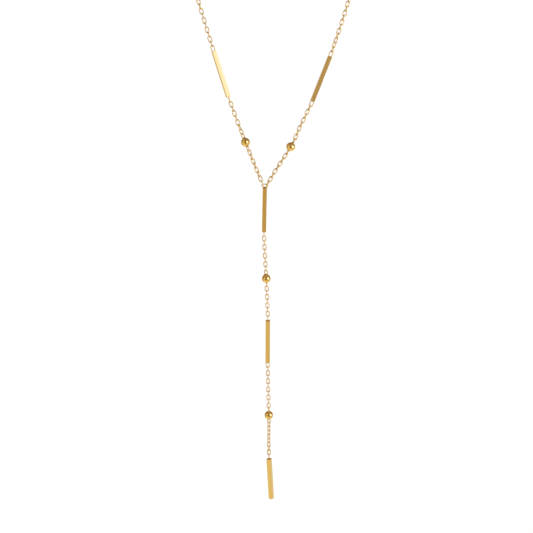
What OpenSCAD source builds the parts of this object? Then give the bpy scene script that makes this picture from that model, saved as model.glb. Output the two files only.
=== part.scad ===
/* [Chain] */
// Diameter of the links' wire
wire_d = 0.33; // [0.28:0.01:0.38]
// Outside length of one link
link_l = 2.4; // [2.3:0.05:2.8]
// Outside width of one link
link_w = 1.45; // [1.35:0.05:1.7]
// Play between the wires of two links that are pulled tight
link_gap = 0.12; // [0.1:0.01:0.16]

/* [Bars] */
// Length of each bar
bar_l = 16; // [10:0.5:20]
// Width of each of a bar's four faces
bar_w = 1.4; // [1:0.1:1.8]
// Width of the flat that breaks a bar's long edges
bar_edge = 0.06; // [0.04:0.02:0.16]
// Depth that the end link is soldered into a bar's end
bar_solder = 0.25; // [0.15:0.05:0.3]
// Turn of the left side bar about its own length
left_bar_turn = 22; // [-45:1:45]
// Turn of the right side bar about its own length
right_bar_turn = 0; // [-45:1:45]
// Turn of the bar below the Y link about its own length
centre_bar_turn = 0; // [-45:1:45]
// Turn of the middle bar of the drop about its own length
middle_bar_turn = 9; // [-45:1:45]
// Turn of the last bar of the drop about its own length
end_bar_turn = 31; // [-45:1:45]

/* [Beads] */
// Diameter of each bead
bead_d = 3; // [2.4:0.1:3.6]
// Depth that the end links are soldered into a bead
bead_solder = 0.55; // [0.3:0.05:0.7]

/* [Y link] */
// Depth that the lying link is soldered into the top of the centre bar
y_solder = 0.1; // [0.06:0.02:0.16]

/* [Strands] */
// Loose links from the Y link to each side bead
low_links = 8; // [6:1:10]
// Loose links from the left side bead to the left bar
left_mid_links = 7; // [6:1:10]
// Loose links from the right side bead to the right bar
right_mid_links = 8; // [6:1:10]
// Loose links of each strand's third stretch, above the side bar
upper_links = 46; // [30:1:50]
// Slack of the left low stretch at each hook
left_low_slack = 0.06; // [0:0.01:0.1]
// Slack of the right low stretch at each hook
right_low_slack = 0.1; // [0:0.01:0.1]
// Slack of the right middle stretch at each hook
right_mid_slack = 0.1; // [0:0.01:0.1]
// Slack of the right strand above its bar at each hook
right_upper_slack = 0.04; // [0:0.01:0.1]

/* [Drop] */
// Loose links between the centre bar and the upper bead
drop_1_links = 8; // [5:1:12]
// Loose links between the upper bead and the middle bar
drop_2_links = 7; // [5:1:12]
// Loose links between the middle bar and the lower bead
drop_3_links = 10; // [5:1:12]
// Loose links between the lower bead and the end bar
drop_4_links = 8; // [5:1:12]
// Slack of the drop at each hook
drop_slack = 0.04; // [0:0.01:0.1]

/* [Clasp] */
// Length of the barrel clasp without its soldered end links
clasp_l = 8; // [6:0.5:10]
// Diameter of the barrel clasp
clasp_d = 2.6; // [2:0.1:3.4]
// Width of the slope at each end of the barrel
clasp_bevel = 0.5; // [0.2:0.1:0.8]
// Depth of the seam round the middle of the barrel
clasp_seam = 0.12; // [0.05:0.01:0.2]
// Links next to the clasp on each side that the plain tube stands for
tube_links = 14; // [4:1:16]

/* [Hidden] */

GOLD = [0.83, 0.66, 0.33];
PALE_GOLD = [0.88, 0.76, 0.50];
WIRE_SIDES = 14;
ARC_SIDES = 24;
BEAD_SIDES = 48;
BARREL_SIDES = 48;
TUBE_SIDES = 10;
ROUTE_STEPS = 16;

// The part hangs from the back of the neck, where the clasp lies at the origin.
// Middle of the Y link, where both strands and the drop meet
JUNCTION = [-4, -105, -130];

// Chosen points of the routes, as right, behind and above.
// The first points of each strand count from the junction, the neck's from the origin.
LEFT_FRONT = [[-6.1, 5.6, 13.3], [-11.6, 11.7, 27.7], [-16.2, 17.7, 41.8], [-21.2, 24.5, 58], [-27.5, 33.5, 79]];
RIGHT_FRONT = [[4.7, 2.5, 6], [9.2, 5.1, 12.2], [12.5, 7.8, 18.5], [16.6, 11, 26], [22.6, 16.6, 39.2], [29.3, 23.9, 56.5],
    [36.3, 33, 77.5]];
NECK = [[38.5, -61.5, -30.5], [44.5, -50, -12], [46.5, -36, 0], [43, -21, 5], [32.5, -8.5, 4.5], [17.5, -1.5, 1.5]];
DROP = [[0, 0, 0], [-0.6, 0, -17], [-0.15, 0, -34.3], [0.1, 0, -50], [-0.25, 0, -66], [-0.25, 0, -86.5],
    [-0.5, 0, -103], [0.05, 0, -119.5], [0.4, 0, -130]];

// Heading that an open link faces at a distance along a strand: 0 is the front, 180 the back
FACING = [[0, 0], [70, 0], [150, 80], [225, 180]];

// Turns of each stretch, as link number and the turn added to the quarter turn from link to link
LEFT_LOW_TURNS = [[0, 0], [3, 30], [7, 35], [9, 45]];
LEFT_MID_TURNS = [[0, 50], [3, 90]];
LEFT_UPPER_TURNS = [[0, 0], [8, 5], [11, 40], [14, 40], [20, 0]];
RIGHT_LOW_TURNS = [[0, 0]];
RIGHT_MID_TURNS = [[0, 90]];
RIGHT_UPPER_TURNS = [[0, 0], [6, 90]];
DROP_1_TURNS = [[0, 90]];
DROP_2_TURNS = [[0, 90]];
DROP_3_TURNS = [[0, 0]];
DROP_4_TURNS = [[0, 35], [4, 45], [7, 30], [9, 0]];

// Sizes worked out from the named ones
pitch = link_l - 2 * wire_d - link_gap;
arc_r = (link_w - wire_d) / 2;
half_straight = (link_l - link_w) / 2;
bar_eye = link_l / 2 - bar_solder;
bead_eye = (bead_d + link_l) / 2 - bead_solder;
y_height = link_w / 2 - y_solder;
clasp_eye = (clasp_l + link_l) / 2 - bar_solder;

// A smooth curve through the chosen points, as a list of places close together
function spline_place(a, b, c, d, t) =
    0.5 * (2 * b + (c - a) * t + (2 * a - 5 * b + 4 * c - d) * t * t + (3 * b - a - 3 * c + d) * t * t * t);
function smooth(points) = [
    for (i = [0:len(points) - 2], step = [0:ROUTE_STEPS - 1])
        spline_place(points[max(i - 1, 0)], points[i], points[i + 1], points[min(i + 2, len(points) - 1)],
            step / ROUTE_STEPS),
    points[len(points) - 1]
];
function lengths(places, i = 0, sum = 0) =
    i == len(places) - 1 ? [sum] : concat([sum], lengths(places, i + 1, sum + norm(places[i + 1] - places[i])));
// A route is three tables, one for each axis, from distance to coordinate
function route(points) =
    let (places = smooth(points), along = lengths(places))
    [for (axis = [0:2]) [for (i = [0:len(places) - 1]) [along[i], places[i][axis]]]];
function place(way, distance) = [for (axis = [0:2]) lookup(distance, way[axis])];
function route_length(way) = way[0][len(way[0]) - 1][0];

function unit(v) = v / norm(v);
function facing(strand_side, distance) =
    let (heading = lookup(distance, FACING))
    [strand_side * sin(heading), -cos(heading), 0];
// Turns a piece whose length lies along Z and whose front is -Y on to a direction and a front
function frame_at(origin, direction, front) =
    let (up = unit(direction), right = unit(cross(up, -front)), back = cross(up, right))
    [
        [-right[0], -back[0], up[0], origin[0]],
        [-right[1], -back[1], up[1], origin[1]],
        [-right[2], -back[2], up[2], origin[2]],
        [0, 0, 0, 1]
    ];
// Frame of a piece of the given length whose middle lies at a distance along the route
function piece_frame(way, middle, length, front) =
    let (from = place(way, middle - length / 2), to = place(way, middle + length / 2))
    frame_at((from + to) / 2, to - from, front);

// Routes of the two strands, from the Y link's round ends, and of the drop.
// A strand leans back, so its first link hooks the Y link that much further to the front
function strand_route(side, first) = route(concat(
    [JUNCTION + [side * half_straight, -arc_r * unit(first[0])[1], 0]],
    [for (p = first) JUNCTION + p],
    [for (p = NECK) [side * p[0], p[1], p[2]]],
    [[side * clasp_eye, 0, 0]]
));
left_route = strand_route(-1, LEFT_FRONT);
right_route = strand_route(1, RIGHT_FRONT);
drop_route = route([for (p = DROP) JUNCTION + p]);

// Distances along the left strand
left_bead_eye_1 = (low_links + 1) * (pitch - left_low_slack) - half_straight;
left_bead = left_bead_eye_1 + bead_eye;
left_bead_eye_2 = left_bead + bead_eye;
left_bar_eye_1 = left_bead_eye_2 + (left_mid_links + 1) * pitch;
left_bar = left_bar_eye_1 + bar_eye + bar_l / 2;
left_bar_eye_2 = left_bar + bar_l / 2 + bar_eye;
// Distances along the right strand
right_bead_eye_1 = (low_links + 1) * (pitch - right_low_slack) - half_straight;
right_bead = right_bead_eye_1 + bead_eye;
right_bead_eye_2 = right_bead + bead_eye;
right_bar_eye_1 = right_bead_eye_2 + (right_mid_links + 1) * (pitch - right_mid_slack);
right_bar = right_bar_eye_1 + bar_eye + bar_l / 2;
right_bar_eye_2 = right_bar + bar_l / 2 + bar_eye;
// Distances down the drop
drop_pitch = pitch - drop_slack;
centre_bar = y_height + bar_l / 2;
centre_eye = centre_bar + bar_l / 2 + bar_eye;
upper_bead_eye_1 = centre_eye + (drop_1_links + 1) * drop_pitch;
upper_bead = upper_bead_eye_1 + bead_eye;
upper_bead_eye_2 = upper_bead + bead_eye;
middle_eye_1 = upper_bead_eye_2 + (drop_2_links + 1) * drop_pitch;
middle_bar = middle_eye_1 + bar_eye + bar_l / 2;
middle_eye_2 = middle_bar + bar_l / 2 + bar_eye;
lower_bead_eye_1 = middle_eye_2 + (drop_3_links + 1) * drop_pitch;
lower_bead = lower_bead_eye_1 + bead_eye;
lower_bead_eye_2 = lower_bead + bead_eye;
end_eye = lower_bead_eye_2 + (drop_4_links + 1) * drop_pitch;
end_bar = end_eye + bar_eye + bar_l / 2;

// Loose links of a strand between its bar and its tube
function strand_links(way, eye, spacing) = floor((route_length(way) - eye) / spacing) - tube_links;

// One link, long along Z, open towards the front
module link() {
    for (turn = [0, 180]) {
        rotate([0, turn, 0]) {
            translate([0, 0, half_straight])
                rotate([90, 0, 0])
                    rotate_extrude(angle = 180, $fn = ARC_SIDES)
                        translate([arc_r, 0])
                            circle(d = wire_d, $fn = WIRE_SIDES);
            translate([arc_r, 0, -half_straight])
                cylinder(d = wire_d, h = 2 * half_straight, $fn = WIRE_SIDES);
        }
    }
}

// A link at a distance along a route, turned about the route from facing the front
module link_at(way, distance, turn, front) {
    multmatrix(piece_frame(way, distance, pitch, front))
        rotate([0, 0, turn])
            link();
}

// Loose links first to last of a stretch that starts at the soldered link numbered 0
module strand_chain(way, side, eye, spacing, first, last, turns) {
    for (k = [first:last])
        link_at(way, eye + k * spacing, 90 * k + lookup(k, turns), facing(side, eye + k * spacing));
}

module drop_chain(eye, count, turns) {
    for (k = [1:count])
        link_at(drop_route, eye + k * drop_pitch, 90 * k + lookup(k, turns), [0, -1, 0]);
}

// A square bar, long along Z, with its long edges broken
module bar_body() {
    half = bar_w / 2;
    inner = half - bar_edge;
    translate([0, 0, -bar_l / 2])
        linear_extrude(bar_l)
            polygon([
                [half, inner], [inner, half], [-inner, half], [-half, inner],
                [-half, -inner], [-inner, -half], [inner, -half], [half, -inner]
            ]);
}

// A bar on a route with a soldered link at the ends that are asked for
module bar_at(way, middle, turn, front, low_turn, high_turn) {
    multmatrix(piece_frame(way, middle, bar_l, front)) {
        rotate([0, 0, turn])
            bar_body();
        if (is_num(low_turn))
            translate([0, 0, -bar_l / 2 - bar_eye])
                rotate([0, 0, low_turn])
                    link();
        if (is_num(high_turn))
            translate([0, 0, bar_l / 2 + bar_eye])
                rotate([0, 0, high_turn])
                    link();
    }
}

// A bead on a route with a soldered link at both sides
module bead_at(way, middle, front, low_turn, high_turn) {
    multmatrix(piece_frame(way, middle, bead_d, front)) {
        sphere(d = bead_d, $fn = BEAD_SIDES);
        translate([0, 0, -bead_eye])
            rotate([0, 0, low_turn])
                link();
        translate([0, 0, bead_eye])
            rotate([0, 0, high_turn])
                link();
    }
}

// Turn of the soldered link at the end of a stretch
function last_turn(count, turns) = 90 * (count + 1) + lookup(count + 1, turns);
function first_turn(turns) = lookup(0, turns);

module bar_left() {
    color(GOLD)
        bar_at(left_route, left_bar, left_bar_turn, facing(-1, left_bar),
            last_turn(left_mid_links, LEFT_MID_TURNS), first_turn(LEFT_UPPER_TURNS));
}

module bar_right() {
    color(GOLD)
        bar_at(right_route, right_bar, right_bar_turn, facing(1, right_bar),
            last_turn(right_mid_links, RIGHT_MID_TURNS), first_turn(RIGHT_UPPER_TURNS));
}

// The lying link that joins both strands is soldered on top of this bar
module bar_centre() {
    color(GOLD) {
        translate(JUNCTION)
            rotate([0, 90, 0])
                link();
        bar_at(drop_route, centre_bar, centre_bar_turn, [0, -1, 0], undef, first_turn(DROP_1_TURNS));
    }
}

module bar_middle() {
    color(GOLD)
        bar_at(drop_route, middle_bar, middle_bar_turn, [0, -1, 0],
            last_turn(drop_2_links, DROP_2_TURNS), first_turn(DROP_3_TURNS));
}

module bar_end() {
    color(GOLD)
        bar_at(drop_route, end_bar, end_bar_turn, [0, -1, 0], last_turn(drop_4_links, DROP_4_TURNS), undef);
}

module bead_left() {
    color(GOLD)
        bead_at(left_route, left_bead, facing(-1, left_bead),
            last_turn(low_links, LEFT_LOW_TURNS), first_turn(LEFT_MID_TURNS));
}

module bead_right() {
    color(GOLD)
        bead_at(right_route, right_bead, facing(1, right_bead),
            last_turn(low_links, RIGHT_LOW_TURNS), first_turn(RIGHT_MID_TURNS));
}

module bead_upper() {
    color(GOLD)
        bead_at(drop_route, upper_bead, [0, -1, 0],
            last_turn(drop_1_links, DROP_1_TURNS), first_turn(DROP_2_TURNS));
}

module bead_lower() {
    color(GOLD)
        bead_at(drop_route, lower_bead, [0, -1, 0],
            last_turn(drop_3_links, DROP_3_TURNS), first_turn(DROP_4_TURNS));
}

module left_low_chain() {
    color(PALE_GOLD)
        strand_chain(left_route, -1, -half_straight, pitch - left_low_slack, 1, low_links, LEFT_LOW_TURNS);
}

module left_mid_chain() {
    color(PALE_GOLD)
        strand_chain(left_route, -1, left_bead_eye_2, pitch, 1, left_mid_links, LEFT_MID_TURNS);
}

module left_upper_chain() {
    color(PALE_GOLD)
        strand_chain(left_route, -1, left_bar_eye_2, pitch, 1, upper_links, LEFT_UPPER_TURNS);
}

module left_back_chain() {
    color(PALE_GOLD)
        strand_chain(left_route, -1, left_bar_eye_2, pitch, upper_links + 1,
            strand_links(left_route, left_bar_eye_2, pitch), LEFT_UPPER_TURNS);
}

module right_low_chain() {
    color(PALE_GOLD)
        strand_chain(right_route, 1, -half_straight, pitch - right_low_slack, 1, low_links, RIGHT_LOW_TURNS);
}

module right_mid_chain() {
    color(PALE_GOLD)
        strand_chain(right_route, 1, right_bead_eye_2, pitch - right_mid_slack, 1, right_mid_links,
            RIGHT_MID_TURNS);
}

module right_upper_chain() {
    color(PALE_GOLD)
        strand_chain(right_route, 1, right_bar_eye_2, pitch - right_upper_slack, 1, upper_links,
            RIGHT_UPPER_TURNS);
}

module right_back_chain() {
    color(PALE_GOLD)
        strand_chain(right_route, 1, right_bar_eye_2, pitch - right_upper_slack, upper_links + 1,
            strand_links(right_route, right_bar_eye_2, pitch - right_upper_slack), RIGHT_UPPER_TURNS);
}

// The last links before the clasp, as a plain tube of the chain's width
module nape_tube(way, side, eye, spacing) {
    last_link = eye + strand_links(way, eye, spacing) * spacing;
    from = last_link + link_l / 2 + link_gap;
    to = route_length(way) - link_l / 2 - link_gap;
    rings = ceil((to - from) / (2.5 * link_w));
    points = [
        for (i = [0:rings])
            let (d = from + (to - from) * i / rings, m = piece_frame(way, d, link_w, facing(side, d)))
            for (k = [0:TUBE_SIDES - 1])
                let (angle = 360 * k / TUBE_SIDES, x = cos(angle) * link_w / 2, y = sin(angle) * link_w / 2)
                [for (axis = [0:2]) m[axis][0] * x + m[axis][1] * y + m[axis][3]]
    ];
    walls = [
        for (i = [0:rings - 1], k = [0:TUBE_SIDES - 1])
            let (next = (k + 1) % TUBE_SIDES, a = i * TUBE_SIDES, b = a + TUBE_SIDES)
            [a + k, b + k, b + next, a + next]
    ];
    ends = [
        [for (k = [0:TUBE_SIDES - 1]) k],
        [for (k = [0:TUBE_SIDES - 1]) (rings + 1) * TUBE_SIDES - 1 - k]
    ];
    polyhedron(points, concat(walls, ends));
}

module left_nape_chain() {
    color(PALE_GOLD)
        nape_tube(left_route, -1, left_bar_eye_2, pitch);
}

module right_nape_chain() {
    color(PALE_GOLD)
        nape_tube(right_route, 1, right_bar_eye_2, pitch - right_upper_slack);
}

module drop_chain_1() {
    color(PALE_GOLD)
        drop_chain(centre_eye, drop_1_links, DROP_1_TURNS);
}

module drop_chain_2() {
    color(PALE_GOLD)
        drop_chain(upper_bead_eye_2, drop_2_links, DROP_2_TURNS);
}

module drop_chain_3() {
    color(PALE_GOLD)
        drop_chain(middle_eye_2, drop_3_links, DROP_3_TURNS);
}

module drop_chain_4() {
    color(PALE_GOLD)
        drop_chain(lower_bead_eye_2, drop_4_links, DROP_4_TURNS);
}

// A plain barrel with a seam, and a soldered link at each end
module clasp() {
    r = clasp_d / 2;
    half = clasp_l / 2;
    color(GOLD) {
        rotate([0, 90, 0])
            rotate_extrude($fn = BARREL_SIDES)
                polygon([
                    [0, -half], [r - clasp_bevel, -half], [r, -half + clasp_bevel], [r, -clasp_seam],
                    [r - clasp_seam, 0], [r, clasp_seam], [r, half - clasp_bevel], [r - clasp_bevel, half],
                    [0, half]
                ]);
        for (side = [-1, 1])
            translate([side * clasp_eye, 0, 0])
                rotate([0, 90, 0])
                    link();
    }
}

bar_left();
bar_right();
bar_centre();
bar_middle();
bar_end();
bead_left();
bead_right();
bead_upper();
bead_lower();
left_low_chain();
left_mid_chain();
left_upper_chain();
left_back_chain();
left_nape_chain();
right_low_chain();
right_mid_chain();
right_upper_chain();
right_back_chain();
right_nape_chain();
drop_chain_1();
drop_chain_2();
drop_chain_3();
drop_chain_4();
clasp();
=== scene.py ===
"""Dresses the Y necklace: slim square bars, round beads and fine cable chain, all gold plated.

Sizes are in millimetres in the classes and become metres in the meshes.
"""
import sys
import logging
import math
from dataclasses import dataclass, field
from enum import Enum

import bmesh
import bpy
import numpy as np
from mathutils import Matrix, Vector

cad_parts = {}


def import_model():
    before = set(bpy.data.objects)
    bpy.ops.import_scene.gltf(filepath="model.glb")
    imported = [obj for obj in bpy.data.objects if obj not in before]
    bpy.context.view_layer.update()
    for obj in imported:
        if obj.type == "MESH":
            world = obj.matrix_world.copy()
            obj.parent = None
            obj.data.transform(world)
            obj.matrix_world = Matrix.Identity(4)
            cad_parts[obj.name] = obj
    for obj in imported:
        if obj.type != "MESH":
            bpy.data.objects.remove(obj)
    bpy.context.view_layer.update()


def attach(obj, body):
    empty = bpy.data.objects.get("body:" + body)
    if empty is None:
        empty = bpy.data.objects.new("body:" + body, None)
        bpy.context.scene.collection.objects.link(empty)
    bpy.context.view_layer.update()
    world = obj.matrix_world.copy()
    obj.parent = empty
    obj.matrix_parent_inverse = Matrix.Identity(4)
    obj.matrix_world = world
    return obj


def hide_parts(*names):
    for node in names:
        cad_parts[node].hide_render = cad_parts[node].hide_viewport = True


LOG = logging.getLogger("necklace")
MM = 0.001

Colour = tuple[float, float, float]
Triple = tuple[float, float, float]
Pair = tuple[float, float]
Material = bpy.types.Material
Socket = bpy.types.NodeSocket

# The direction that the photographed side looks to
FRONT = np.array([0.0, -1.0, 0.0])
# Lays a piece that is long along Z along X
ALONG_X = Matrix.Rotation(math.pi / 2, 4, "Y")
# Between these lie nearly all values of a noise
NOISE_LOW, NOISE_HIGH = 0.3, 0.7
# Points of a mesh that are closer than this, in metres, are one
WELD = 1e-8


def about_z(degrees: float) -> Matrix:
    """A turn about the Z axis."""
    return Matrix.Rotation(math.radians(degrees), 4, "Z")


def up_z(height: float) -> Matrix:
    """A move along the Z axis."""
    return Matrix.Translation((0.0, 0.0, height))


class Body(Enum):
    """The rigid bodies that the pieces ride on."""

    LOOP = "neck_loop"
    DROP = "drop"
    END = "end_bar"


class Slot(Enum):
    """The record's material slots."""

    BARS = "gold_bars"
    BEADS = "gold_beads"
    CHAIN = "gold_chain"
    CLASP = "gold_clasp"


class Side(Enum):
    """The two strands of the loop, as the sign of X."""

    LEFT = -1
    RIGHT = 1


# ---------------------------------------------------------------- route


class Route:
    """A smooth path through chosen points, read by the distance along it."""

    STEPS = 16

    def __init__(self, points: list[np.ndarray]) -> None:
        """Fits the path.

        Args:
            points: Places that the path goes through, in millimetres.
        """
        self.places = self._smooth(np.array(points, float))
        steps = np.linalg.norm(np.diff(self.places, axis=0), axis=1)
        self.along = np.concatenate([[0.0], np.cumsum(steps)])

    @classmethod
    def _smooth(cls, points: np.ndarray) -> np.ndarray:
        """Places close together on a Catmull-Rom curve through the points.

        Args:
            points: One row for each chosen point.

        Returns:
            One row for each place.
        """
        last = len(points) - 1
        rows = []
        for i in range(last):
            a, b, c, d = (points[min(max(i + k, 0), last)] for k in (-1, 0, 1, 2))
            for t in np.arange(cls.STEPS) / cls.STEPS:
                rows.append(0.5 * (2 * b + (c - a) * t + (2 * a - 5 * b + 4 * c - d) * t**2
                                   + (3 * b - a - 3 * c + d) * t**3))
        rows.append(points[last])
        return np.array(rows)

    @property
    def length(self) -> float:
        """Length of the whole path."""
        return float(self.along[-1])

    def place(self, distance: float) -> np.ndarray:
        """The point at a distance along the path."""
        return np.array([np.interp(distance, self.along, self.places[:, k]) for k in range(3)])

    def seat(self, middle: float, length: float, front: np.ndarray, turn: float = 0.0) -> Matrix:
        """Frame of a straight piece that lies on the path, long along its own Z.

        Args:
            middle: Distance along the path of the piece's middle.
            length: Length of path that the piece spans.
            front: Direction that the piece's -Y side looks to.
            turn: Degrees about the piece's own Z.

        Returns:
            The 4 by 4 matrix of the frame, in millimetres.
        """
        start, end = self.place(middle - length / 2), self.place(middle + length / 2)
        up = (end - start) / np.linalg.norm(end - start)
        right = np.cross(up, -front)
        right /= np.linalg.norm(right)
        back = np.cross(up, right)
        matrix = Matrix.Identity(4)
        for row in range(3):
            matrix[row] = (-right[row], -back[row], up[row], (start[row] + end[row]) / 2)
        return matrix @ about_z(turn)


@dataclass(frozen=True)
class Turns:
    """Turn added to the quarter turn from link to link, by link number."""

    table: tuple[Pair, ...]

    def of(self, link: float) -> float:
        """Added turn of a link, in degrees."""
        numbers, turns = zip(*self.table)
        return float(np.interp(link, numbers, turns))

    def whole(self, link: int) -> float:
        """Whole turn of a link, in degrees."""
        return 90.0 * link + self.of(link)


UNTURNED = Turns(((0, 0),))
QUARTER_TURNED = Turns(((0, 90),))


# ---------------------------------------------------------------- sizes


@dataclass(frozen=True)
class LinkSize:
    """One oval link of the cable chain."""

    wire: float = 0.33
    length: float = 2.4
    width: float = 1.45
    gap: float = 0.12

    @property
    def pitch(self) -> float:
        """Distance from link to link when pulled tight."""
        return self.length - 2 * self.wire - self.gap

    @property
    def bend(self) -> float:
        """Radius of the round ends, to the middle of the wire."""
        return (self.width - self.wire) / 2

    @property
    def half_straight(self) -> float:
        """Half the length of the straight sides."""
        return (self.length - self.width) / 2


@dataclass(frozen=True)
class SolderSize:
    """Half sizes of the flat drops of solder. Under a standing link the first is across its two wires.

    Attributes:
        bar_end: Where a link stands on a bar's end.
        side_link: Where the Y link lies on the centre bar's end.
        bead: Where a link stands on a bead.
        bead_depth: How far the middle of a bead's drop lies below its surface.
    """

    bar_end: Triple = (0.46, 0.27, 0.13)
    side_link: Triple = (0.66, 0.60, 0.10)
    bead: Triple = (0.52, 0.46, 0.34)
    bead_depth: float = 0.06


@dataclass(frozen=True)
class NecklaceSize:
    """Sizes and route of the whole necklace.

    Attributes:
        junction: Middle of the Y link. The first points of both strands and all of the drop's count from it.
        neck: The rest of both strands' points, with X away from the middle.
        headings: Distance along a strand, and the heading that an open link faces there in degrees.
    """

    link: LinkSize = field(default_factory=LinkSize)
    solder: SolderSize = field(default_factory=SolderSize)
    bar_length: float = 16.0
    bar_width: float = 1.4
    bar_round: float = 0.05
    bar_solder: float = 0.25
    bead: float = 3.0
    bead_solder: float = 0.55
    y_solder: float = 0.1
    clasp_length: float = 8.0
    clasp_width: float = 2.6
    junction: Triple = (-4.0, -105.0, -130.0)
    left_front: tuple[Triple, ...] = (
        (-6.1, 5.6, 13.3), (-11.6, 11.7, 27.7), (-16.2, 17.7, 41.8), (-21.2, 24.5, 58.0), (-27.5, 33.5, 79.0))
    right_front: tuple[Triple, ...] = (
        (4.7, 2.5, 6.0), (9.2, 5.1, 12.2), (12.5, 7.8, 18.5), (16.6, 11.0, 26.0),
        (22.6, 16.6, 39.2), (29.3, 23.9, 56.5), (36.3, 33.0, 77.5))
    neck: tuple[Triple, ...] = (
        (38.5, -61.5, -30.5), (44.5, -50.0, -12.0), (46.5, -36.0, 0.0),
        (43.0, -21.0, 5.0), (32.5, -8.5, 4.5), (17.5, -1.5, 1.5))
    drop_points: tuple[Triple, ...] = (
        (0, 0, 0), (-0.6, 0, -17), (-0.15, 0, -34.3), (0.1, 0, -50), (-0.25, 0, -66),
        (-0.25, 0, -86.5), (-0.5, 0, -103), (0.05, 0, -119.5), (0.4, 0, -130))
    headings: tuple[Pair, ...] = ((0, 0), (70, 0), (150, 80), (225, 180))

    @property
    def bar_eye(self) -> float:
        """From a bar's end to the middle of its soldered link."""
        return self.link.length / 2 - self.bar_solder

    @property
    def bead_eye(self) -> float:
        """From a bead's middle to the middle of its soldered link."""
        return (self.bead + self.link.length) / 2 - self.bead_solder

    @property
    def clasp_eye(self) -> float:
        """From the clasp's middle to the middle of its soldered link."""
        return (self.clasp_length + self.link.length) / 2 - self.bar_solder

    @property
    def y_height(self) -> float:
        """From the top of the centre bar to the middle of the lying link."""
        return self.link.width / 2 - self.y_solder

    def strand_route(self, side: Side) -> Route:
        """The path of one strand, from the Y link to the clasp.

        Args:
            side: The strand.

        Returns:
            Its route.
        """
        first = np.array(self.left_front if side is Side.LEFT else self.right_front, float)
        middle = np.array(self.junction)
        lean = first[0] / np.linalg.norm(first[0])
        sign = side.value
        hook = middle + [sign * self.link.half_straight, -self.link.bend * lean[1], 0.0]
        neck = [np.array([sign * p[0], p[1], p[2]]) for p in self.neck]
        return Route([hook, *(middle + first), *neck, np.array([sign * self.clasp_eye, 0.0, 0.0])])

    def drop_route(self) -> Route:
        """The path of the drop, from the Y link down."""
        return Route([np.array(self.junction) + p for p in np.array(self.drop_points, float)])

    def facing(self, side: Side, distance: float) -> np.ndarray:
        """Direction that an open link of a strand looks to.

        Args:
            side: The strand.
            distance: Distance along it.

        Returns:
            A unit vector.
        """
        at, turns = zip(*self.headings)
        heading = math.radians(float(np.interp(distance, at, turns)))
        return np.array([side.value * math.sin(heading), -math.cos(heading), 0.0])


# ---------------------------------------------------------------- node trees


class Tree:
    """A short way to write node trees."""

    def __init__(self, tree: bpy.types.NodeTree) -> None:
        """Keeps the tree that the nodes go to."""
        self.tree = tree

    @classmethod
    def fresh(cls, owner: Material | bpy.types.World) -> "Tree":
        """Empties the node tree of a material or a world, and takes it."""
        owner.use_nodes = True
        owner.node_tree.nodes.clear()
        return cls(owner.node_tree)

    def add(self, kind: str, settings: dict | None = None, inputs: dict | None = None) -> bpy.types.Node:
        """Adds a node.

        Args:
            kind: Blender's name for the node.
            settings: Its properties.
            inputs: Values, or other nodes' output sockets, by input name or number.

        Returns:
            The new node.
        """
        node = self.tree.nodes.new(kind)
        for name, value in (settings or {}).items():
            setattr(node, name, value)
        for key, value in (inputs or {}).items():
            socket = node.inputs[key]
            if isinstance(value, Socket):
                self.tree.links.new(value, socket)
            else:
                socket.default_value = value
        return node

    def get(self, kind: str, inputs: dict | None = None, settings: dict | None = None) -> Socket:
        """Adds a node and gives its first output."""
        return self.add(kind, settings, inputs).outputs[0]

    def calc(self, operation: str, *values: object) -> Socket:
        """Adds one step of arithmetic on numbers or sockets."""
        return self.get("ShaderNodeMath", dict(enumerate(values)), {"operation": operation})

    def mix(self, factor: Socket, low: object, high: object) -> Socket:
        """Blends two colours, each a value or a socket."""
        node = self.add("ShaderNodeMix", {"data_type": "RGBA"}, {"Factor": factor, 6: low, 7: high})
        return node.outputs[2]

    def span(self, value: Socket, given: Pair, wanted: Pair = (0.0, 1.0), kind: str = "LINEAR") -> Socket:
        """Maps one range of values to another, and holds them there.

        Args:
            value: The value.
            given: The range that it comes in.
            wanted: The range that it goes to.
            kind: Blender's name for the way between.

        Returns:
            The mapped value.
        """
        return self.get("ShaderNodeMapRange", {
            "Value": value, "From Min": given[0], "From Max": given[1],
            "To Min": wanted[0], "To Max": wanted[1]}, {"interpolation_type": kind})

    def noise(self, place: Socket, scale: float, detail: float, roughness: float = 0.5,
              stretch: Triple | None = None) -> Socket:
        """Adds a noise.

        Args:
            place: Where it is read.
            scale: How fine it is.
            detail: How many finer layers it has.
            roughness: How strong they are.
            stretch: Scale of each axis, for a noise that is drawn out along one of them.

        Returns:
            The noise.
        """
        if stretch:
            place = self.get("ShaderNodeMapping", {"Vector": place, "Scale": stretch})
        return self.add("ShaderNodeTexNoise", inputs={
            "Vector": place, "Scale": scale, "Detail": detail, "Roughness": roughness}).outputs["Fac"]

    def ramp(self, factor: Socket, stops: list[tuple[float, Colour]]) -> Socket:
        """Adds a colour ramp.

        Args:
            factor: What drives the ramp.
            stops: Position and colour of each stop.

        Returns:
            The ramp's colour output.
        """
        node = self.add("ShaderNodeValToRGB", inputs={"Fac": factor})
        elements = node.color_ramp.elements
        while len(elements) > 1:
            elements.remove(elements[-1])
        elements[0].position, elements[0].color = stops[0][0], (*stops[0][1], 1.0)
        for position, colour in stops[1:]:
            elements.new(position).color = (*colour, 1.0)
        return node.outputs["Color"]


# ---------------------------------------------------------------- finishes


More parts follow.
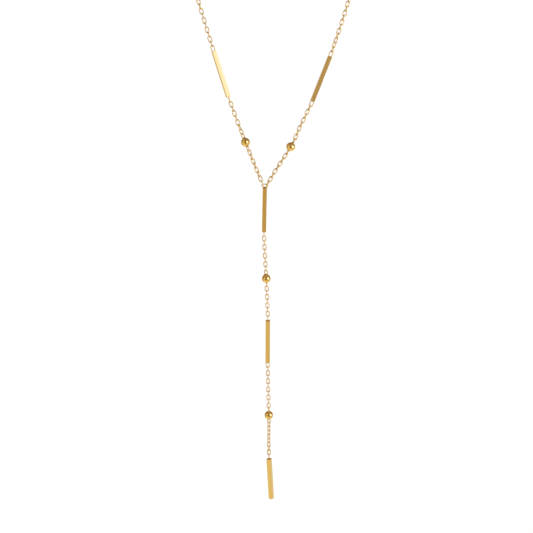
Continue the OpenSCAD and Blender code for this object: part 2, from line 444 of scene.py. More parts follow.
@dataclass(frozen=True)
class GoldFinish:
    """Gold plate: its tone, its polish and the marks that the polishing leaves.

    Attributes:
        tone, deep_tone: The colours that it varies between.
        polish: Least and greatest roughness.
        line_depth: Depth in millimetres of lines drawn along a bar, for a bar's finish.
        grain_depth: Depth in millimetres of the grain, for the others.
        end_shade_from, end_shade_blend: Where the painted shade on a bar's end faces starts, and how softly,
            from the bar's middle.
        end_shade_tone: Deeper colour painted on the bar's end faces as shade.
    """

    name: str
    tone: Colour
    deep_tone: Colour
    polish: Pair
    line_depth: float = 0.0
    grain_depth: float = 0.0
    cloud_scale: float = 420.0
    grain_scale: float = 2500.0
    line_scale: float = 1.6
    line_stretch: Triple = (9.0, 9.0, 0.22)
    streak_stretch: Triple = (3.2, 3.2, 0.05)
    streak_span: Pair = (0.32, 0.68)
    # Painted shade on a bar's end faces: where it starts, how softly, and its deeper colour
    end_shade_from: float = 7.94
    end_shade_blend: float = 0.06
    end_shade_tone: Colour = (1.0, 0.74, 0.36)

    def material(self) -> Material:
        """Builds the node material.

        Returns:
            The material.
        """
        material = bpy.data.materials.new(self.name)
        t = Tree.fresh(material)
        tone, marks = self._drawn(t) if self.line_depth else self._polished(t)
        depth = self.line_depth or self.grain_depth
        rough = t.span(marks, (NOISE_LOW, NOISE_HIGH), self.polish)
        bump = t.get("ShaderNodeBump", {"Height": marks, "Strength": 1.0, "Distance": depth * MM})
        shader = t.get("ShaderNodeBsdfPrincipled", {
            "Base Color": tone, "Metallic": 1.0, "Roughness": rough, "Normal": bump})
        t.add("ShaderNodeOutputMaterial", inputs={"Surface": shader})
        return material

    def _polished(self, t: Tree) -> tuple[Socket, Socket]:
        """Tone and marks of metal that was tumbled: soft clouds and a fine grain."""
        place = t.add("ShaderNodeTexCoord").outputs["Object"]
        cloud = t.noise(place, self.cloud_scale, 3.0)
        tone = t.ramp(cloud, [(NOISE_LOW, self.deep_tone), (NOISE_HIGH, self.tone)])
        return tone, t.noise(place, self.grain_scale, 4.0)

    def _drawn(self, t: Tree) -> tuple[Socket, Socket]:
        """Tone and marks of a drawn bar: streaks and lines along it, and painted shade on its end faces."""
        own = t.add("ShaderNodeAttribute", {"attribute_name": "bar_place"}).outputs["Vector"]
        lines = t.noise(own, self.line_scale, 5.0, 0.62, self.line_stretch)
        streaks = t.noise(own, 1.0, 3.0, 0.55, self.streak_stretch)
        tone = t.ramp(streaks, list(zip(self.streak_span, (self.deep_tone, self.tone))))
        along = t.add("ShaderNodeSeparateXYZ", inputs={"Vector": own}).outputs["Z"]
        # Painted shade: the bar's end faces take a deeper colour that stands for the shade on them
        end_shade = t.span(t.calc("ABSOLUTE", along), (self.end_shade_from, self.end_shade_from + self.end_shade_blend))
        return t.mix(end_shade, tone, (*self.end_shade_tone, 1.0)), lines


@dataclass(frozen=True)
class Finishes:
    """The finishes that the necklace is dressed with."""

    bar: GoldFinish = GoldFinish(
        "satin_gold", (0.98, 0.76, 0.40), (0.89, 0.66, 0.31), (0.15, 0.22), line_depth=0.0012)
    bead: GoldFinish = GoldFinish(
        "mirror_gold", (0.96, 0.72, 0.34), (0.92, 0.66, 0.28), (0.04, 0.09), grain_depth=0.002)
    wire: GoldFinish = GoldFinish(
        "wire_gold", (1.0, 0.78, 0.37), (0.97, 0.72, 0.31), (0.42, 0.52), grain_depth=0.004)
    clasp: GoldFinish = GoldFinish(
        "clasp_gold", (0.95, 0.73, 0.38), (0.90, 0.67, 0.32), (0.10, 0.20), grain_depth=0.004)
    # Solder drops: partly their own darker colour, partly painted shade of the joins where links meet bars
    # and beads
    solder: GoldFinish = GoldFinish(
        "solder_and_shade_gold", (0.60, 0.35, 0.13), (0.46, 0.26, 0.09), (0.30, 0.42), grain_depth=0.004)


# ---------------------------------------------------------------- meshes


def new_object(name: str, mesh: bpy.types.Mesh) -> bpy.types.Object:
    """Puts a mesh in the scene as an object at the origin."""
    made = bpy.data.objects.new(name, mesh)
    bpy.context.scene.collection.objects.link(made)
    return made


def plain_mesh(source: bpy.types.Object, name: str) -> bpy.types.Object:
    """Turns an object and its modifiers into an object with a plain mesh.

    Args:
        source: The object, which is removed.
        name: Name of the result.

    Returns:
        The new object.
    """
    bpy.context.view_layer.update()
    seen = source.evaluated_get(bpy.context.evaluated_depsgraph_get())
    mesh = bpy.data.meshes.new_from_object(seen)
    source.modifiers.clear()
    bpy.data.objects.remove(source)
    mesh.name = name
    return new_object(name, mesh)


def point_outwards(mesh: bpy.types.Mesh) -> None:
    """Merges doubles and turns every face outwards."""
    work = bmesh.new()
    work.from_mesh(mesh)
    bmesh.ops.remove_doubles(work, verts=work.verts, dist=WELD)
    bmesh.ops.recalc_face_normals(work, faces=work.faces)
    work.to_mesh(mesh)
    work.free()


class LinkTree:
    """The Geometry Nodes tree that sets one oval wire link on each point."""

    BEND_POINTS = 16
    WIRE_SIDES = 5

    def __init__(self) -> None:
        """Builds the tree."""
        self.tree = bpy.data.node_groups.new("oval_links", "GeometryNodeTree")
        face = self.tree.interface
        face.new_socket("Geometry", in_out="INPUT", socket_type="NodeSocketGeometry")
        face.new_socket("Geometry", in_out="OUTPUT", socket_type="NodeSocketGeometry")
        for name in ("Wire", "Length", "Width"):
            face.new_socket(name, in_out="INPUT", socket_type="NodeSocketFloat")
        for name in ("Bend Points", "Wire Sides"):
            face.new_socket(name, in_out="INPUT", socket_type="NodeSocketInt")
        face.new_socket("Finish", in_out="INPUT", socket_type="NodeSocketMaterial")
        self._wire_up()

    def _wire_up(self) -> None:
        """Adds the nodes: a stretched circle, a round wire along it, and a copy on every point."""
        t = Tree(self.tree)
        given = t.add("NodeGroupInput").outputs
        bend = t.calc("MULTIPLY", t.calc("SUBTRACT", given["Width"], given["Wire"]), 0.5)
        straight = t.calc("MULTIPLY", t.calc("SUBTRACT", given["Length"], given["Width"]), 0.5)
        half_step = t.calc("DIVIDE", math.pi, given["Bend Points"])
        ring = t.get("GeometryNodeCurvePrimitiveCircle",
                     {"Resolution": given["Bend Points"], "Radius": bend}, {"mode": "RADIUS"})
        turned = t.get("GeometryNodeTransform", {
            "Geometry": ring, "Rotation": t.get("ShaderNodeCombineXYZ", {"Z": half_step})})
        here = t.add("ShaderNodeSeparateXYZ", inputs={"Vector": t.get("GeometryNodeInputPosition")})
        shift = t.calc("MULTIPLY", t.calc("SIGN", here.outputs["Y"]), straight)
        oval = t.get("GeometryNodeSetPosition", {
            "Geometry": turned, "Offset": t.get("ShaderNodeCombineXYZ", {"Y": shift})})
        upright = t.get("GeometryNodeTransform", {"Geometry": oval, "Rotation": (math.pi / 2, 0.0, 0.0)})
        section = t.get("GeometryNodeCurvePrimitiveCircle", {
            "Resolution": given["Wire Sides"], "Radius": t.calc("MULTIPLY", given["Wire"], 0.5)},
            {"mode": "RADIUS"})
        wire = t.get("GeometryNodeCurveToMesh", {"Curve": upright, "Profile Curve": section})
        smooth = t.get("GeometryNodeSetShadeSmooth", {0: wire, "Shade Smooth": True})
        facing = t.add("GeometryNodeInputNamedAttribute", {"data_type": "QUATERNION"}, {"Name": "facing"})
        spread = t.get("GeometryNodeInstanceOnPoints", {
            "Points": given["Geometry"], "Instance": smooth, "Rotation": facing.outputs["Attribute"]})
        real = t.get("GeometryNodeRealizeInstances", {"Geometry": spread})
        dressed = t.get("GeometryNodeSetMaterial", {"Geometry": real, "Material": given["Finish"]})
        t.add("NodeGroupOutput", inputs={"Geometry": dressed})

    def make(self, name: str, seats: list[Matrix], size: LinkSize, finish: Material) -> bpy.types.Object:
        """Makes a row of links as one plain mesh.

        Args:
            name: Name of the piece.
            seats: Frame of each link, in millimetres.
            size: The link's sizes.
            finish: Its material.

        Returns:
            The piece.
        """
        mesh = bpy.data.meshes.new(name + "_points")
        mesh.from_pydata([seat.translation * MM for seat in seats], [], [])
        turns = mesh.attributes.new("facing", "QUATERNION", "POINT")
        for item, seat in zip(turns.data, seats):
            item.value = seat.to_quaternion()
        holder = new_object(name + "_points", mesh)
        modifier = holder.modifiers.new("links", "NODES")
        modifier.node_group = self.tree
        values = {"Wire": size.wire * MM, "Length": size.length * MM, "Width": size.width * MM,
                  "Bend Points": self.BEND_POINTS, "Wire Sides": self.WIRE_SIDES, "Finish": finish}
        for item in self.tree.interface.items_tree:
            if item.in_out == "INPUT" and item.name in values:
                modifier[item.identifier] = values[item.name]
        made = plain_mesh(holder, name)
        point_outwards(made.data)
        return made


@dataclass
class Blank:
    """A mesh that is being built from simple forms, in millimetres, in its piece's own frame."""

    EDGE_ANGLES = (45.0, 30.0, 15.0, 0.0)
    EDGE_BRACE = 0.03
    SOLDER_FACES = (20, 10)

    work: bmesh.types.BMesh = field(default_factory=bmesh.new)

    def rounded_bar(self, width: float, length: float, radius: float) -> None:
        """Adds a square bar, long along Z, with round edges and flat faces.

        Args:
            width: Width of each face.
            length: Length of the bar.
            radius: Radius of the edges.
        """
        bend = [radius * math.tan(math.radians(a)) for a in self.EDGE_ANGLES]

        def lines(half: float) -> list[float]:
            """Where the grid lines of one axis lie, the innermost to keep the flat face's shading flat."""
            inner = half - radius
            near = [inner + b for b in bend] + [inner - self.EDGE_BRACE]
            return [-x for x in near] + [0.0] + near[::-1]

        halves = (width / 2, width / 2, length / 2)
        grids = [lines(half) for half in halves]
        corners: dict[tuple, bmesh.types.BMVert] = {}

        def corner(place: tuple[float, ...]) -> bmesh.types.BMVert:
            """The vertex for a place on the sharp bar, moved on to the round one."""
            key = tuple(round(x, 6) for x in place)
            if key not in corners:
                inner = Vector([min(max(x, radius - h), h - radius) for x, h in zip(place, halves)])
                out = Vector(place) - inner
                corners[key] = self.work.verts.new(inner + out.normalized() * radius)
            return corners[key]

        for axis in range(3):
            u, v = [k for k in range(3) if k != axis]
            for sign in (-1, 1):
                for i in range(len(grids[u]) - 1):
                    for j in range(len(grids[v]) - 1):
                        loop = []
                        for a, b in ((i, j), (i + 1, j), (i + 1, j + 1), (i, j + 1)):
                            place = [0.0, 0.0, 0.0]
                            place[axis], place[u], place[v] = sign * halves[axis], grids[u][a], grids[v][b]
                            loop.append(corner(tuple(place)))
                        self.work.faces.new(loop)

    def ball(self, radii: Triple, height: float, around: int, down: int, turn: float = 0.0) -> None:
        """Adds a ball or a squashed ball on the Z axis.

        Args:
            radii: Half its size along each axis.
            height: Where it lies.
            around: Faces round its equator.
            down: Faces from pole to pole.
            turn: Degrees about its own Z.
        """
        bmesh.ops.create_uvsphere(self.work, u_segments=around, v_segments=down, radius=1.0,
                                  matrix=up_z(height) @ about_z(turn) @ Matrix.Diagonal((*radii, 1.0)))

    def solder(self, radii: Triple, height: float, turn: float = 0.0) -> None:
        """Adds a flat drop of solder on the Z axis, turned with the link that it holds."""
        self.ball(radii, height, *self.SOLDER_FACES, turn)

    def lathe(self, profile: list[Pair], around: int) -> None:
        """Adds a turned form about the Z axis.

        Args:
            profile: Radius and height of each ring, from the lower pole to the upper one.
            around: Faces round it.
        """
        angles = [2 * math.pi * k / around for k in range(around)]
        rings = []
        for radius, height in profile:
            places = [(radius * math.cos(a), radius * math.sin(a), height) for a in angles]
            rings.append([self.work.verts.new(p) for p in (places if radius else places[:1])])
        for low, high in zip(rings, rings[1:]):
            for k in range(around):
                loop = [ring[i % len(ring)] for ring, i in ((low, k), (low, k + 1), (high, k + 1), (high, k))]
                self.work.faces.new(list(dict.fromkeys(loop)))

    def piece(self, name: str, seat: Matrix, finish: Material) -> bpy.types.Object:
        """Finishes the mesh in its place.

        Args:
            name: Name of the piece.
            seat: The piece's frame, in millimetres.
            finish: Its material.

        Returns:
            The piece.
        """
        bmesh.ops.recalc_face_normals(self.work, faces=self.work.faces)
        for face in self.work.faces:
            face.smooth = True
        mesh = bpy.data.meshes.new(name)
        self.work.to_mesh(mesh)
        self.work.free()
        own = mesh.attributes.new("bar_place", "FLOAT_VECTOR", "POINT")
        own.data.foreach_set("vector", [x for v in mesh.vertices for x in v.co])
        mesh.transform(Matrix.Scale(MM, 4) @ seat)
        mesh.materials.append(finish)
        return new_object(name, mesh)


def settle(piece: bpy.types.Object, body: Body, nodes: list[str]) -> None:
    """Ties a finished piece to its body and the nodes it stands for, and reports it.

    Args:
        piece: The piece.
        body: What it rides on.
        nodes: The nodes that it replaces.
    """
    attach(piece, body.value)
    if nodes:
        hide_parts(*nodes)
    LOG.info("%s: %d faces, on %s", piece.name, len(piece.data.polygons), body.value)


# ---------------------------------------------------------------- the necklace's parts


@dataclass
class Workshop:
    """What every part of the necklace is made with.

    Attributes:
        eyes: Frames of the links that are soldered to bars, beads or the clasp, by body.
        eyed: Nodes that these links belong to, by body.
    """

    size: NecklaceSize
    links: LinkTree
    bar_gold: Material
    bead_gold: Material
    wire_gold: Material
    clasp_gold: Material
    # Solder finish: partly its own darker colour, partly painted shade of the joins
    solder_and_shade_gold: Material
    eyes: dict[Body, list[Matrix]] = field(default_factory=lambda: {body: [] for body in Body})
    eyed: dict[Body, list[str]] = field(default_factory=lambda: {body: [] for body in Body})

    def add_eye(self, body: Body, node: str, seat: Matrix) -> None:
        """Keeps the frame of a soldered link."""
        self.eyes[body].append(seat)
        if node not in self.eyed[body]:
            self.eyed[body].append(node)

    def make_chain(self, name: str, body: Body, seats: list[Matrix], nodes: list[str]) -> None:
        """Makes a stretch of chain and settles it."""
        settle(self.links.make(name, seats, self.size.link, self.wire_gold), body, nodes)

    def make_eyes(self) -> None:
        """Makes the soldered links, one piece for each body."""
        for body, seats in self.eyes.items():
            self.make_chain(f"{body.value}_soldered_links", body, seats, self.eyed[body])


@dataclass
class Bar:
    """A slim square bar with a link soldered in its ends.

    Attributes:
        turn: Degrees of the bar about its length.
        low_turn, high_turn: The same for the link at the route's start and end, if there is one.
        side_link: Whether the Y link lies on the end at the route's start.
    """

    node: str
    body: Body
    seat: Matrix
    turn: float
    low_turn: float | None = None
    high_turn: float | None = None
    side_link: bool = False

    def build(self, shop: Workshop) -> None:
        """Makes the bar with its solder, and notes its links.

        Args:
            shop: Sizes, finishes and the list of soldered links.
        """
        size = shop.size
        half = size.bar_length / 2
        blank = Blank()
        blank.rounded_bar(size.bar_width, size.bar_length, size.bar_round)
        piece = blank.piece(self.node + "_body", self.seat @ about_z(self.turn), shop.bar_gold)
        settle(piece, self.body, [self.node])
        solder = Blank()
        for sign, turn in ((-1, self.low_turn), (1, self.high_turn)):
            if turn is None:
                continue
            shop.add_eye(self.body, self.node, self.seat @ up_z(sign * (half + size.bar_eye)) @ about_z(turn))
            solder.solder(size.solder.bar_end, sign * half, turn)
        if self.side_link:
            solder.solder(size.solder.side_link, -half)
        piece = solder.piece(self.node + "_solder", self.seat, shop.solder_and_shade_gold)
        settle(piece, self.body, [self.node])


@dataclass
class Bead:
    """A round bead with a link soldered in both sides.

    Attributes:
        low_turn, high_turn: Degrees of the link at the route's start and end, about the route.
    """

    AROUND, DOWN = 64, 32

    node: str
    body: Body
    seat: Matrix
    low_turn: float
    high_turn: float

    def build(self, shop: Workshop) -> None:
        """Makes the bead with its solder, and notes its links.

        Args:
            shop: Sizes, finishes and the list of soldered links.
        """
        size = shop.size
        radius = size.bead / 2
        blank = Blank()
        blank.ball((radius,) * 3, 0.0, self.AROUND, self.DOWN)
        piece = blank.piece(self.node + "_ball", self.seat, shop.bead_gold)
        settle(piece, self.body, [self.node])
        solder = Blank()
        for sign, turn in ((-1, self.low_turn), (1, self.high_turn)):
            shop.add_eye(self.body, self.node, self.seat @ up_z(sign * size.bead_eye) @ about_z(turn))
            solder.solder(size.solder.bead, sign * (radius - size.solder.bead_depth), turn)
        piece = solder.piece(self.node + "_solder", self.seat, shop.solder_and_shade_gold)
        settle(piece, self.body, [self.node])


@dataclass
class Strand:
    """One side of the loop: a bead, a bar and the chain from the Y link to the clasp.

    Attributes:
        bar_turn: Degrees of the bar about its length.
        low_slack, mid_slack, upper_slack: How much closer than pulled tight the links of a stretch lie.
        low_turns, mid_turns, upper_turns: Turns of the links of each stretch.
        tube_links: Number of links beside the clasp.
    """

    side: Side
    bar_turn: float
    low_slack: float
    mid_links: int
    mid_slack: float
    upper_slack: float
    low_turns: Turns
    mid_turns: Turns
    upper_turns: Turns
    low_links: int = 8
    upper_links: int = 46
    tube_links: int = 14

    def build(self, shop: Workshop) -> None:
        """Makes the strand's pieces.

        Args:
            shop: Sizes, finishes and the list of soldered links.
        """
        size, link = shop.size, shop.size.link
        name = self.side.name.lower()
        way = size.strand_route(self.side)

        def make_run(part: str, eye: float, spacing: float, turns: Turns, first: int, last: int) -> None:
            """Makes the links of a stretch, from the first number to the last."""
            places = [(k, eye + k * spacing) for k in range(first, last + 1)]
            seats = [way.seat(at, link.pitch, size.facing(self.side, at), turns.whole(k)) for k, at in places]
            shop.make_chain(f"{name}_{part}_links", Body.LOOP, seats, [f"{name}_{part}_chain"])

        low, mid, upper = (link.pitch - slack for slack in (self.low_slack, self.mid_slack, self.upper_slack))
        start = -link.half_straight
        make_run("low", start, low, self.low_turns, 1, self.low_links)
        bead_at = start + (self.low_links + 1) * low + size.bead_eye
        Bead(f"bead_{name}", Body.LOOP, way.seat(bead_at, size.bead, size.facing(self.side, bead_at)),
             self.low_turns.whole(self.low_links + 1), self.mid_turns.of(0)).build(shop)
        eye = bead_at + size.bead_eye
        make_run("mid", eye, mid, self.mid_turns, 1, self.mid_links)
        bar_at = eye + (self.mid_links + 1) * mid + size.bar_eye + size.bar_length / 2
        Bar(f"bar_{name}", Body.LOOP, way.seat(bar_at, size.bar_length, size.facing(self.side, bar_at)),
            self.bar_turn, self.mid_turns.whole(self.mid_links + 1), self.upper_turns.of(0)).build(shop)
        eye = bar_at + size.bar_length / 2 + size.bar_eye
        last = math.floor((way.length - eye) / upper) - self.tube_links
        make_run("upper", eye, upper, self.upper_turns, 1, self.upper_links)
        make_run("back", eye, upper, self.upper_turns, self.upper_links + 1, last)
        self._build_nape(shop, way, eye + last * upper, self.upper_turns.whole(last))

    def _build_nape(self, shop: Workshop, way: Route, begin: float, turn: float) -> None:
        """Makes the last links before the clasp, evenly spaced, ending square to the clasp's own link.

        Args:
            shop: Sizes and finishes.
            way: The strand's route.
            begin: Distance of the last link of the stretch before.
            turn: Whole turn of that link, in degrees.
        """
        size = shop.size
        steps = math.ceil((way.length - begin) / size.link.pitch)
        spacing = (way.length - begin) / steps
        off = (turn + 90 * steps) % 180
        off = off - 180 if off > 90 else off
        seats = [way.seat(begin + k * spacing, spacing, size.facing(self.side, begin + k * spacing),
                          turn + (90 - off / steps) * k) for k in range(1, steps)]
        name = self.side.name.lower()
        shop.make_chain(f"{name}_nape_links", Body.LOOP, seats, [f"{name}_nape_chain"])


@dataclass
class Drop:
    """The straight drop: three bars, two beads and four stretches of chain, from the top.

    Attributes:
        bar_turns: Degrees of each bar about its length.
        counts: Number of links of each stretch.
        slack: How much closer than pulled tight the links lie.
        turns: Turns of the links of each stretch.
    """

    bar_turns: Triple = (0.0, 9.0, 31.0)
    counts: tuple[int, int, int, int] = (8, 7, 10, 8)
    slack: float = 0.04
    turns: tuple[Turns, Turns, Turns, Turns] = (
        QUARTER_TURNED, QUARTER_TURNED, UNTURNED, Turns(((0, 35), (4, 45), (7, 30), (9, 0))))

    def build(self, shop: Workshop) -> None:
        """Makes the drop's pieces.

        Args:
            shop: Sizes, finishes and the list of soldered links.
        """
        size = shop.size
        way = size.drop_route()
        pitch = size.link.pitch - self.slack
        half = size.bar_length / 2
        at = size.y_height + half
        Bar("bar_centre", Body.DROP, way.seat(at, size.bar_length, FRONT), self.bar_turns[0],
            None, self.turns[0].of(0), side_link=True).build(shop)
        shop.add_eye(Body.DROP, "bar_centre", Matrix.Translation(size.junction) @ ALONG_X)
        at = self._chain(shop, way, 0, at + half + size.bar_eye, pitch)
        at = self._bead(shop, way, "bead_upper", at, 0)
        at = self._chain(shop, way, 1, at, pitch)
        Bar("bar_middle", Body.DROP, way.seat(at + size.bar_eye + half, size.bar_length, FRONT),
            self.bar_turns[1], self.turns[1].whole(self.counts[1] + 1), self.turns[2].of(0)).build(shop)
        at = self._chain(shop, way, 2, at + 2 * (size.bar_eye + half), pitch)
        at = self._bead(shop, way, "bead_lower", at, 2)
        at = self._chain(shop, way, 3, at, pitch)
        Bar("bar_end", Body.END, way.seat(at + size.bar_eye + half, size.bar_length, FRONT),
            self.bar_turns[2], self.turns[3].whole(self.counts[3] + 1), None).build(shop)

    def _chain(self, shop: Workshop, way: Route, stretch: int, eye: float, pitch: float) -> float:
        """Makes one stretch of chain.

        Args:
            shop: Sizes and finishes.
            way: The drop's route.
            stretch: Number of the stretch, from the top.
            eye: Distance of the soldered link above it.
            pitch: Distance from link to link.

        Returns:
            Distance of the soldered link below it.
        """
        count, turns = self.counts[stretch], self.turns[stretch]
        link = shop.size.link.pitch
        seats = [way.seat(eye + k * pitch, link, FRONT, turns.whole(k)) for k in range(1, count + 1)]
        shop.make_chain(f"drop_{stretch + 1}_links", Body.DROP, seats, [f"drop_chain_{stretch + 1}"])
        return eye + (count + 1) * pitch

    def _bead(self, shop: Workshop, way: Route, node: str, eye: float, stretch: int) -> float:
        """Makes one bead.

        Args:
            shop: Sizes and finishes.
            way: The drop's route.
            node: The bead's node.
            eye: Distance of the soldered link above the bead.
            stretch: Number of the stretch of chain above it.

        Returns:
            Distance of the soldered link below it.
        """
        middle = eye + shop.size.bead_eye
        Bead(node, Body.DROP, way.seat(middle, shop.size.bead, FRONT),
             self.turns[stretch].whole(self.counts[stretch] + 1), self.turns[stretch + 1].of(0)).build(shop)
        return middle + shop.size.bead_eye


@dataclass
class Clasp:
    """A plain barrel clasp with a seam.

    Attributes:
        bevel: Width of the sloping edge.
        seam: Depth and half width of the groove round the middle.
        soft: How far each edge is rounded.
        brace: Width of the strip beside it that keeps the next face's shading flat.
        lip: How far in and along the groove's rounded edge lies, as shares of the seam.
    """

    AROUND = 64

    bevel: float = 0.5
    seam: float = 0.12
    soft: float = 0.05
    brace: float = 0.05
    lip: Pair = (0.2, 0.9)

    def build(self, shop: Workshop) -> None:
        """Makes the barrel, and notes its links.

        Args:
            shop: Sizes, finishes and the list of soldered links.
        """
        size = shop.size
        r, half = size.clasp_width / 2, size.clasp_length / 2
        bevel, seam, soft, brace = self.bevel, self.seam, self.soft, self.brace
        near, far = soft / math.sqrt(2), (soft + brace) / math.sqrt(2)
        rings = [
            (0.0, -half), (r - bevel - soft - brace, -half), (r - bevel - soft, -half),
            (r - bevel + near, -half + near), (r - bevel + far, -half + far),
            (r - far, -half + bevel - far), (r - near, -half + bevel - near),
            (r, -half + bevel + soft), (r, -half + bevel + soft + brace),
            (r, -seam - brace), (r, -seam), (r - self.lip[0] * seam, -self.lip[1] * seam), (r - seam, 0.0)]
        profile = rings + [(radius, -height) for radius, height in rings[-2::-1]]
        blank = Blank()
        blank.lathe(profile, self.AROUND)
        settle(blank.piece("clasp_barrel", ALONG_X, shop.clasp_gold), Body.LOOP, ["clasp"])
        for sign in (-1, 1):
            shop.add_eye(Body.LOOP, "clasp", Matrix.Translation((sign * size.clasp_eye, 0, 0)) @ ALONG_X)


# ---------------------------------------------------------------- studio


@dataclass(frozen=True)
class SoftBox:
    """A soft light that looks at the necklace.

    Attributes:
        azimuth: Degrees to the right of the front.
        elevation: Degrees above level.
        distance: Metres from the necklace.
        size: Width and height in metres.
        radiance: Brightness of its face.
        mirrored: Whether the metal shows it.
    """

    TARGET = Vector((-0.004, -0.09, -0.12))

    name: str
    azimuth: float
    elevation: float
    distance: float
    size: Pair
    radiance: float
    colour: Colour
    mirrored: bool = True

    def build(self) -> None:
        """Adds the light to the scene."""
        data = bpy.data.lights.new(self.name, "AREA")
        data.shape, data.size, data.size_y = "RECTANGLE", *self.size
        data.energy = self.radiance * math.pi * self.size[0] * self.size[1]
        data.color = self.colour
        light = bpy.data.objects.new(self.name, data)
        a, e = math.radians(self.azimuth), math.radians(self.elevation)
        out = Vector((math.sin(a) * math.cos(e), -math.cos(a) * math.cos(e), math.sin(e)))
        light.matrix_world = Matrix.Translation(self.TARGET + out * self.distance) @ (
            out.to_track_quat("Z", "Y").to_matrix().to_4x4())
        light.visible_camera = False
        light.visible_glossy = self.mirrored
        bpy.context.scene.collection.objects.link(light)


@dataclass
class Studio:
    """Camera, pale floor and soft light.

    Attributes:
        camera_place: In millimetres.
        tilt, roll: Degrees that the camera looks down, and that it is turned about its view.
        lens, sensor: Focal length and sensor width, in millimetres.
        clip: Nearest and farthest that the camera sees, in metres.
        floor_height, floor_reach: Height and half width of the floor, in metres.
        floor_greys: The floor's least and greatest brightness.
        glow, glow_share: Brightness of the light from within the floor, and how much of its look it is.
        below, low_surroundings, high_surroundings: What the metal mirrors from straight below, and by
            azimuth from below and from above the horizon.
        rise, sink: Heights of a unit vector between which low changes to high, and low to below.
        boxes: The key on the right with a weaker light above it, a fill on the left, and light from above
            that the metal doesn't mirror.
    """

    camera_place: Triple = (-3.997, -779.495, 138.559)
    tilt: float = 23.836
    roll: float = -1.174
    lens: float = 147.125
    sensor: float = 36.0
    clip: Pair = (0.01, 50.0)
    floor_height: float = -0.5
    floor_reach: float = 6.0
    floor_greys: Pair = (0.90, 0.92)
    glow: float = 1.045
    glow_share: float = 0.92
    below: Colour = (0.89, 0.83, 0.58)
    low_surroundings: tuple[tuple[float, Colour], ...] = (
        (-180, (0.76, 0.71, 0.58)), (-147, (0.70, 0.62, 0.45)), (-126, (0.58, 0.46, 0.26)),
        (-88, (0.62, 0.48, 0.23)), (-68, (0.85, 0.74, 0.42)), (-54, (0.84, 0.71, 0.38)),
        (-20, (0.77, 0.63, 0.31)), (-6, (0.56, 0.42, 0.19)), (8, (0.54, 0.40, 0.18)),
        (40, (0.64, 0.50, 0.23)), (88, (0.68, 0.54, 0.28)), (110, (0.80, 0.74, 0.55)),
        (122, (0.80, 0.74, 0.55)), (138, (0.62, 0.51, 0.29)), (158, (0.78, 0.73, 0.60)),
        (180, (0.76, 0.71, 0.58)))
    high_surroundings: tuple[tuple[float, Colour], ...] = (
        (-180, (0.24, 0.15, 0.065)), (-130, (0.36, 0.26, 0.14)), (-80, (0.48, 0.37, 0.20)),
        (-34, (0.38, 0.29, 0.14)), (-22, (0.22, 0.15, 0.06)), (4, (0.22, 0.15, 0.06)),
        (14, (0.44, 0.33, 0.16)), (26, (0.46, 0.35, 0.18)), (80, (0.48, 0.37, 0.20)),
        (130, (0.36, 0.26, 0.14)), (180, (0.24, 0.15, 0.065)))
    rise: Pair = (-0.25, 0.12)
    sink: Pair = (-0.55, -0.85)
    boxes: tuple[SoftBox, ...] = (
        SoftBox("key", 57.0, 11.0, 1.1, (0.60, 0.78), 2.8, (0.89, 0.94, 1.04)),
        SoftBox("front_right", 40.0, 29.0, 1.1, (0.42, 0.6), 1.12, (0.84, 0.89, 1.22)),
        SoftBox("fill", -50.0, 22.0, 1.1, (0.42, 0.5), 1.05, (1.0, 0.95, 0.85)),
        SoftBox("ceiling", 180.0, 80.0, 1.8, (3.0, 3.0), 1.6, (0.985, 0.99, 1.0), mirrored=False))

    def build(self) -> None:
        """Makes the whole studio."""
        self._camera()
        self._floor()
        self._world()
        for box in self.boxes:
            box.build()
        bpy.context.scene.view_settings.view_transform = "Standard"

    def _camera(self) -> None:
        """Sets the camera at the photograph's angle."""
        data = bpy.data.cameras.new("camera")
        data.lens, data.sensor_width = self.lens, self.sensor
        data.clip_start, data.clip_end = self.clip
        camera = bpy.data.objects.new("camera", data)
        bpy.context.scene.collection.objects.link(camera)
        e, r = math.radians(self.tilt), math.radians(self.roll)
        back = Vector((0.0, -math.cos(e), math.sin(e)))
        right, up = Vector((1.0, 0.0, 0.0)), Vector((0.0, math.sin(e), math.cos(e)))
        axis_x = right * math.cos(r) + up * math.sin(r)
        axis_y = up * math.cos(r) - right * math.sin(r)
        matrix = Matrix((axis_x, axis_y, back)).transposed().to_4x4()
        matrix.translation = Vector(self.camera_place) * MM
        camera.matrix_world = matrix
        bpy.context.scene.camera = camera

    def _floor(self) -> None:
        """Makes the pale floor, far below the drop: a white sheet, lit mostly from within."""
        work = bmesh.new()
        bmesh.ops.create_grid(work, x_segments=8, y_segments=8, size=self.floor_reach,
                              matrix=up_z(self.floor_height))
        mesh = bpy.data.meshes.new("floor")
        work.to_mesh(mesh)
        work.free()
        floor = new_object("floor", mesh)
        material = bpy.data.materials.new("pale_floor")
        t = Tree.fresh(material)
        noise = t.noise(t.add("ShaderNodeTexCoord").outputs["Object"], 3.0, 2.0)
        low, high = self.floor_greys
        colour = t.ramp(noise, [(NOISE_LOW, (low,) * 3), (NOISE_HIGH, (high,) * 3)])
        sheet = t.get("ShaderNodeBsdfDiffuse", {"Color": colour})
        glow = t.get("ShaderNodeEmission", {"Color": (1.0,) * 4, "Strength": self.glow})
        both = t.get("ShaderNodeMixShader", {0: self.glow_share, 1: sheet, 2: glow})
        t.add("ShaderNodeOutputMaterial", inputs={"Surface": both})
        mesh.materials.append(material)
        floor.visible_glossy = False

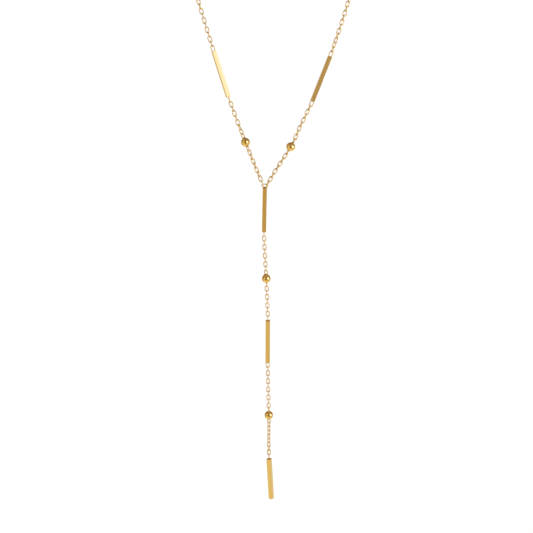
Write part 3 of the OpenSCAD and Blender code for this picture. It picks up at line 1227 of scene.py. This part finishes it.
    def _world(self) -> None:
        """Makes the soft surroundings: pale for the eye, and graded for what the metal mirrors."""
        world = bpy.data.worlds.new("studio")
        bpy.context.scene.world = world
        t = Tree.fresh(world)
        way = t.add("ShaderNodeSeparateXYZ", inputs={
            "Vector": t.add("ShaderNodeTexCoord").outputs["Generated"]}).outputs
        heading = t.calc("ARCTAN2", way["X"], t.calc("MULTIPLY", way["Y"], -1.0))
        turn = t.span(heading, (-math.pi, math.pi))
        low, high = (t.ramp(turn, [((azimuth + 180) / 360, colour) for azimuth, colour in stops])
                     for stops in (self.low_surroundings, self.high_surroundings))
        around = t.mix(t.span(way["Z"], self.rise, kind="SMOOTHSTEP"), low, high)
        around = t.mix(t.span(way["Z"], self.sink, kind="SMOOTHSTEP"), around, (*self.below, 1.0))
        soft = t.get("ShaderNodeBackground", {"Color": around, "Strength": 1.0})
        pale = t.get("ShaderNodeBackground", {"Color": (1.0,) * 4, "Strength": 1.0})
        seen = t.add("ShaderNodeLightPath").outputs["Is Camera Ray"]
        both = t.get("ShaderNodeMixShader", {0: seen, 1: soft, 2: pale})
        t.add("ShaderNodeOutputWorld", inputs={"Surface": both})


# ---------------------------------------------------------------- all together


def main() -> None:
    """Builds the studio and the necklace."""
    logging.basicConfig(level=logging.INFO, format="%(name)s: %(message)s", stream=sys.stdout)
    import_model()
    Studio().build()
    gold = Finishes()
    shop = Workshop(NecklaceSize(), LinkTree(), *(
        finish.material() for finish in (gold.bar, gold.bead, gold.wire, gold.clasp, gold.solder)))
    Strand(Side.LEFT, bar_turn=22.0, low_slack=0.06, mid_links=7, mid_slack=0.0, upper_slack=0.0,
           low_turns=Turns(((0, 0), (3, 30), (7, 35), (9, 45))), mid_turns=Turns(((0, 50), (3, 90))),
           upper_turns=Turns(((0, 0), (8, 5), (11, 40), (14, 40), (20, 0)))).build(shop)
    Strand(Side.RIGHT, bar_turn=0.0, low_slack=0.1, mid_links=8, mid_slack=0.1, upper_slack=0.04,
           low_turns=UNTURNED, mid_turns=QUARTER_TURNED,
           upper_turns=Turns(((0, 0), (6, 90)))).build(shop)
    Drop().build(shop)
    Clasp().build(shop)
    shop.make_eyes()


if __name__ == "__main__":
    main()
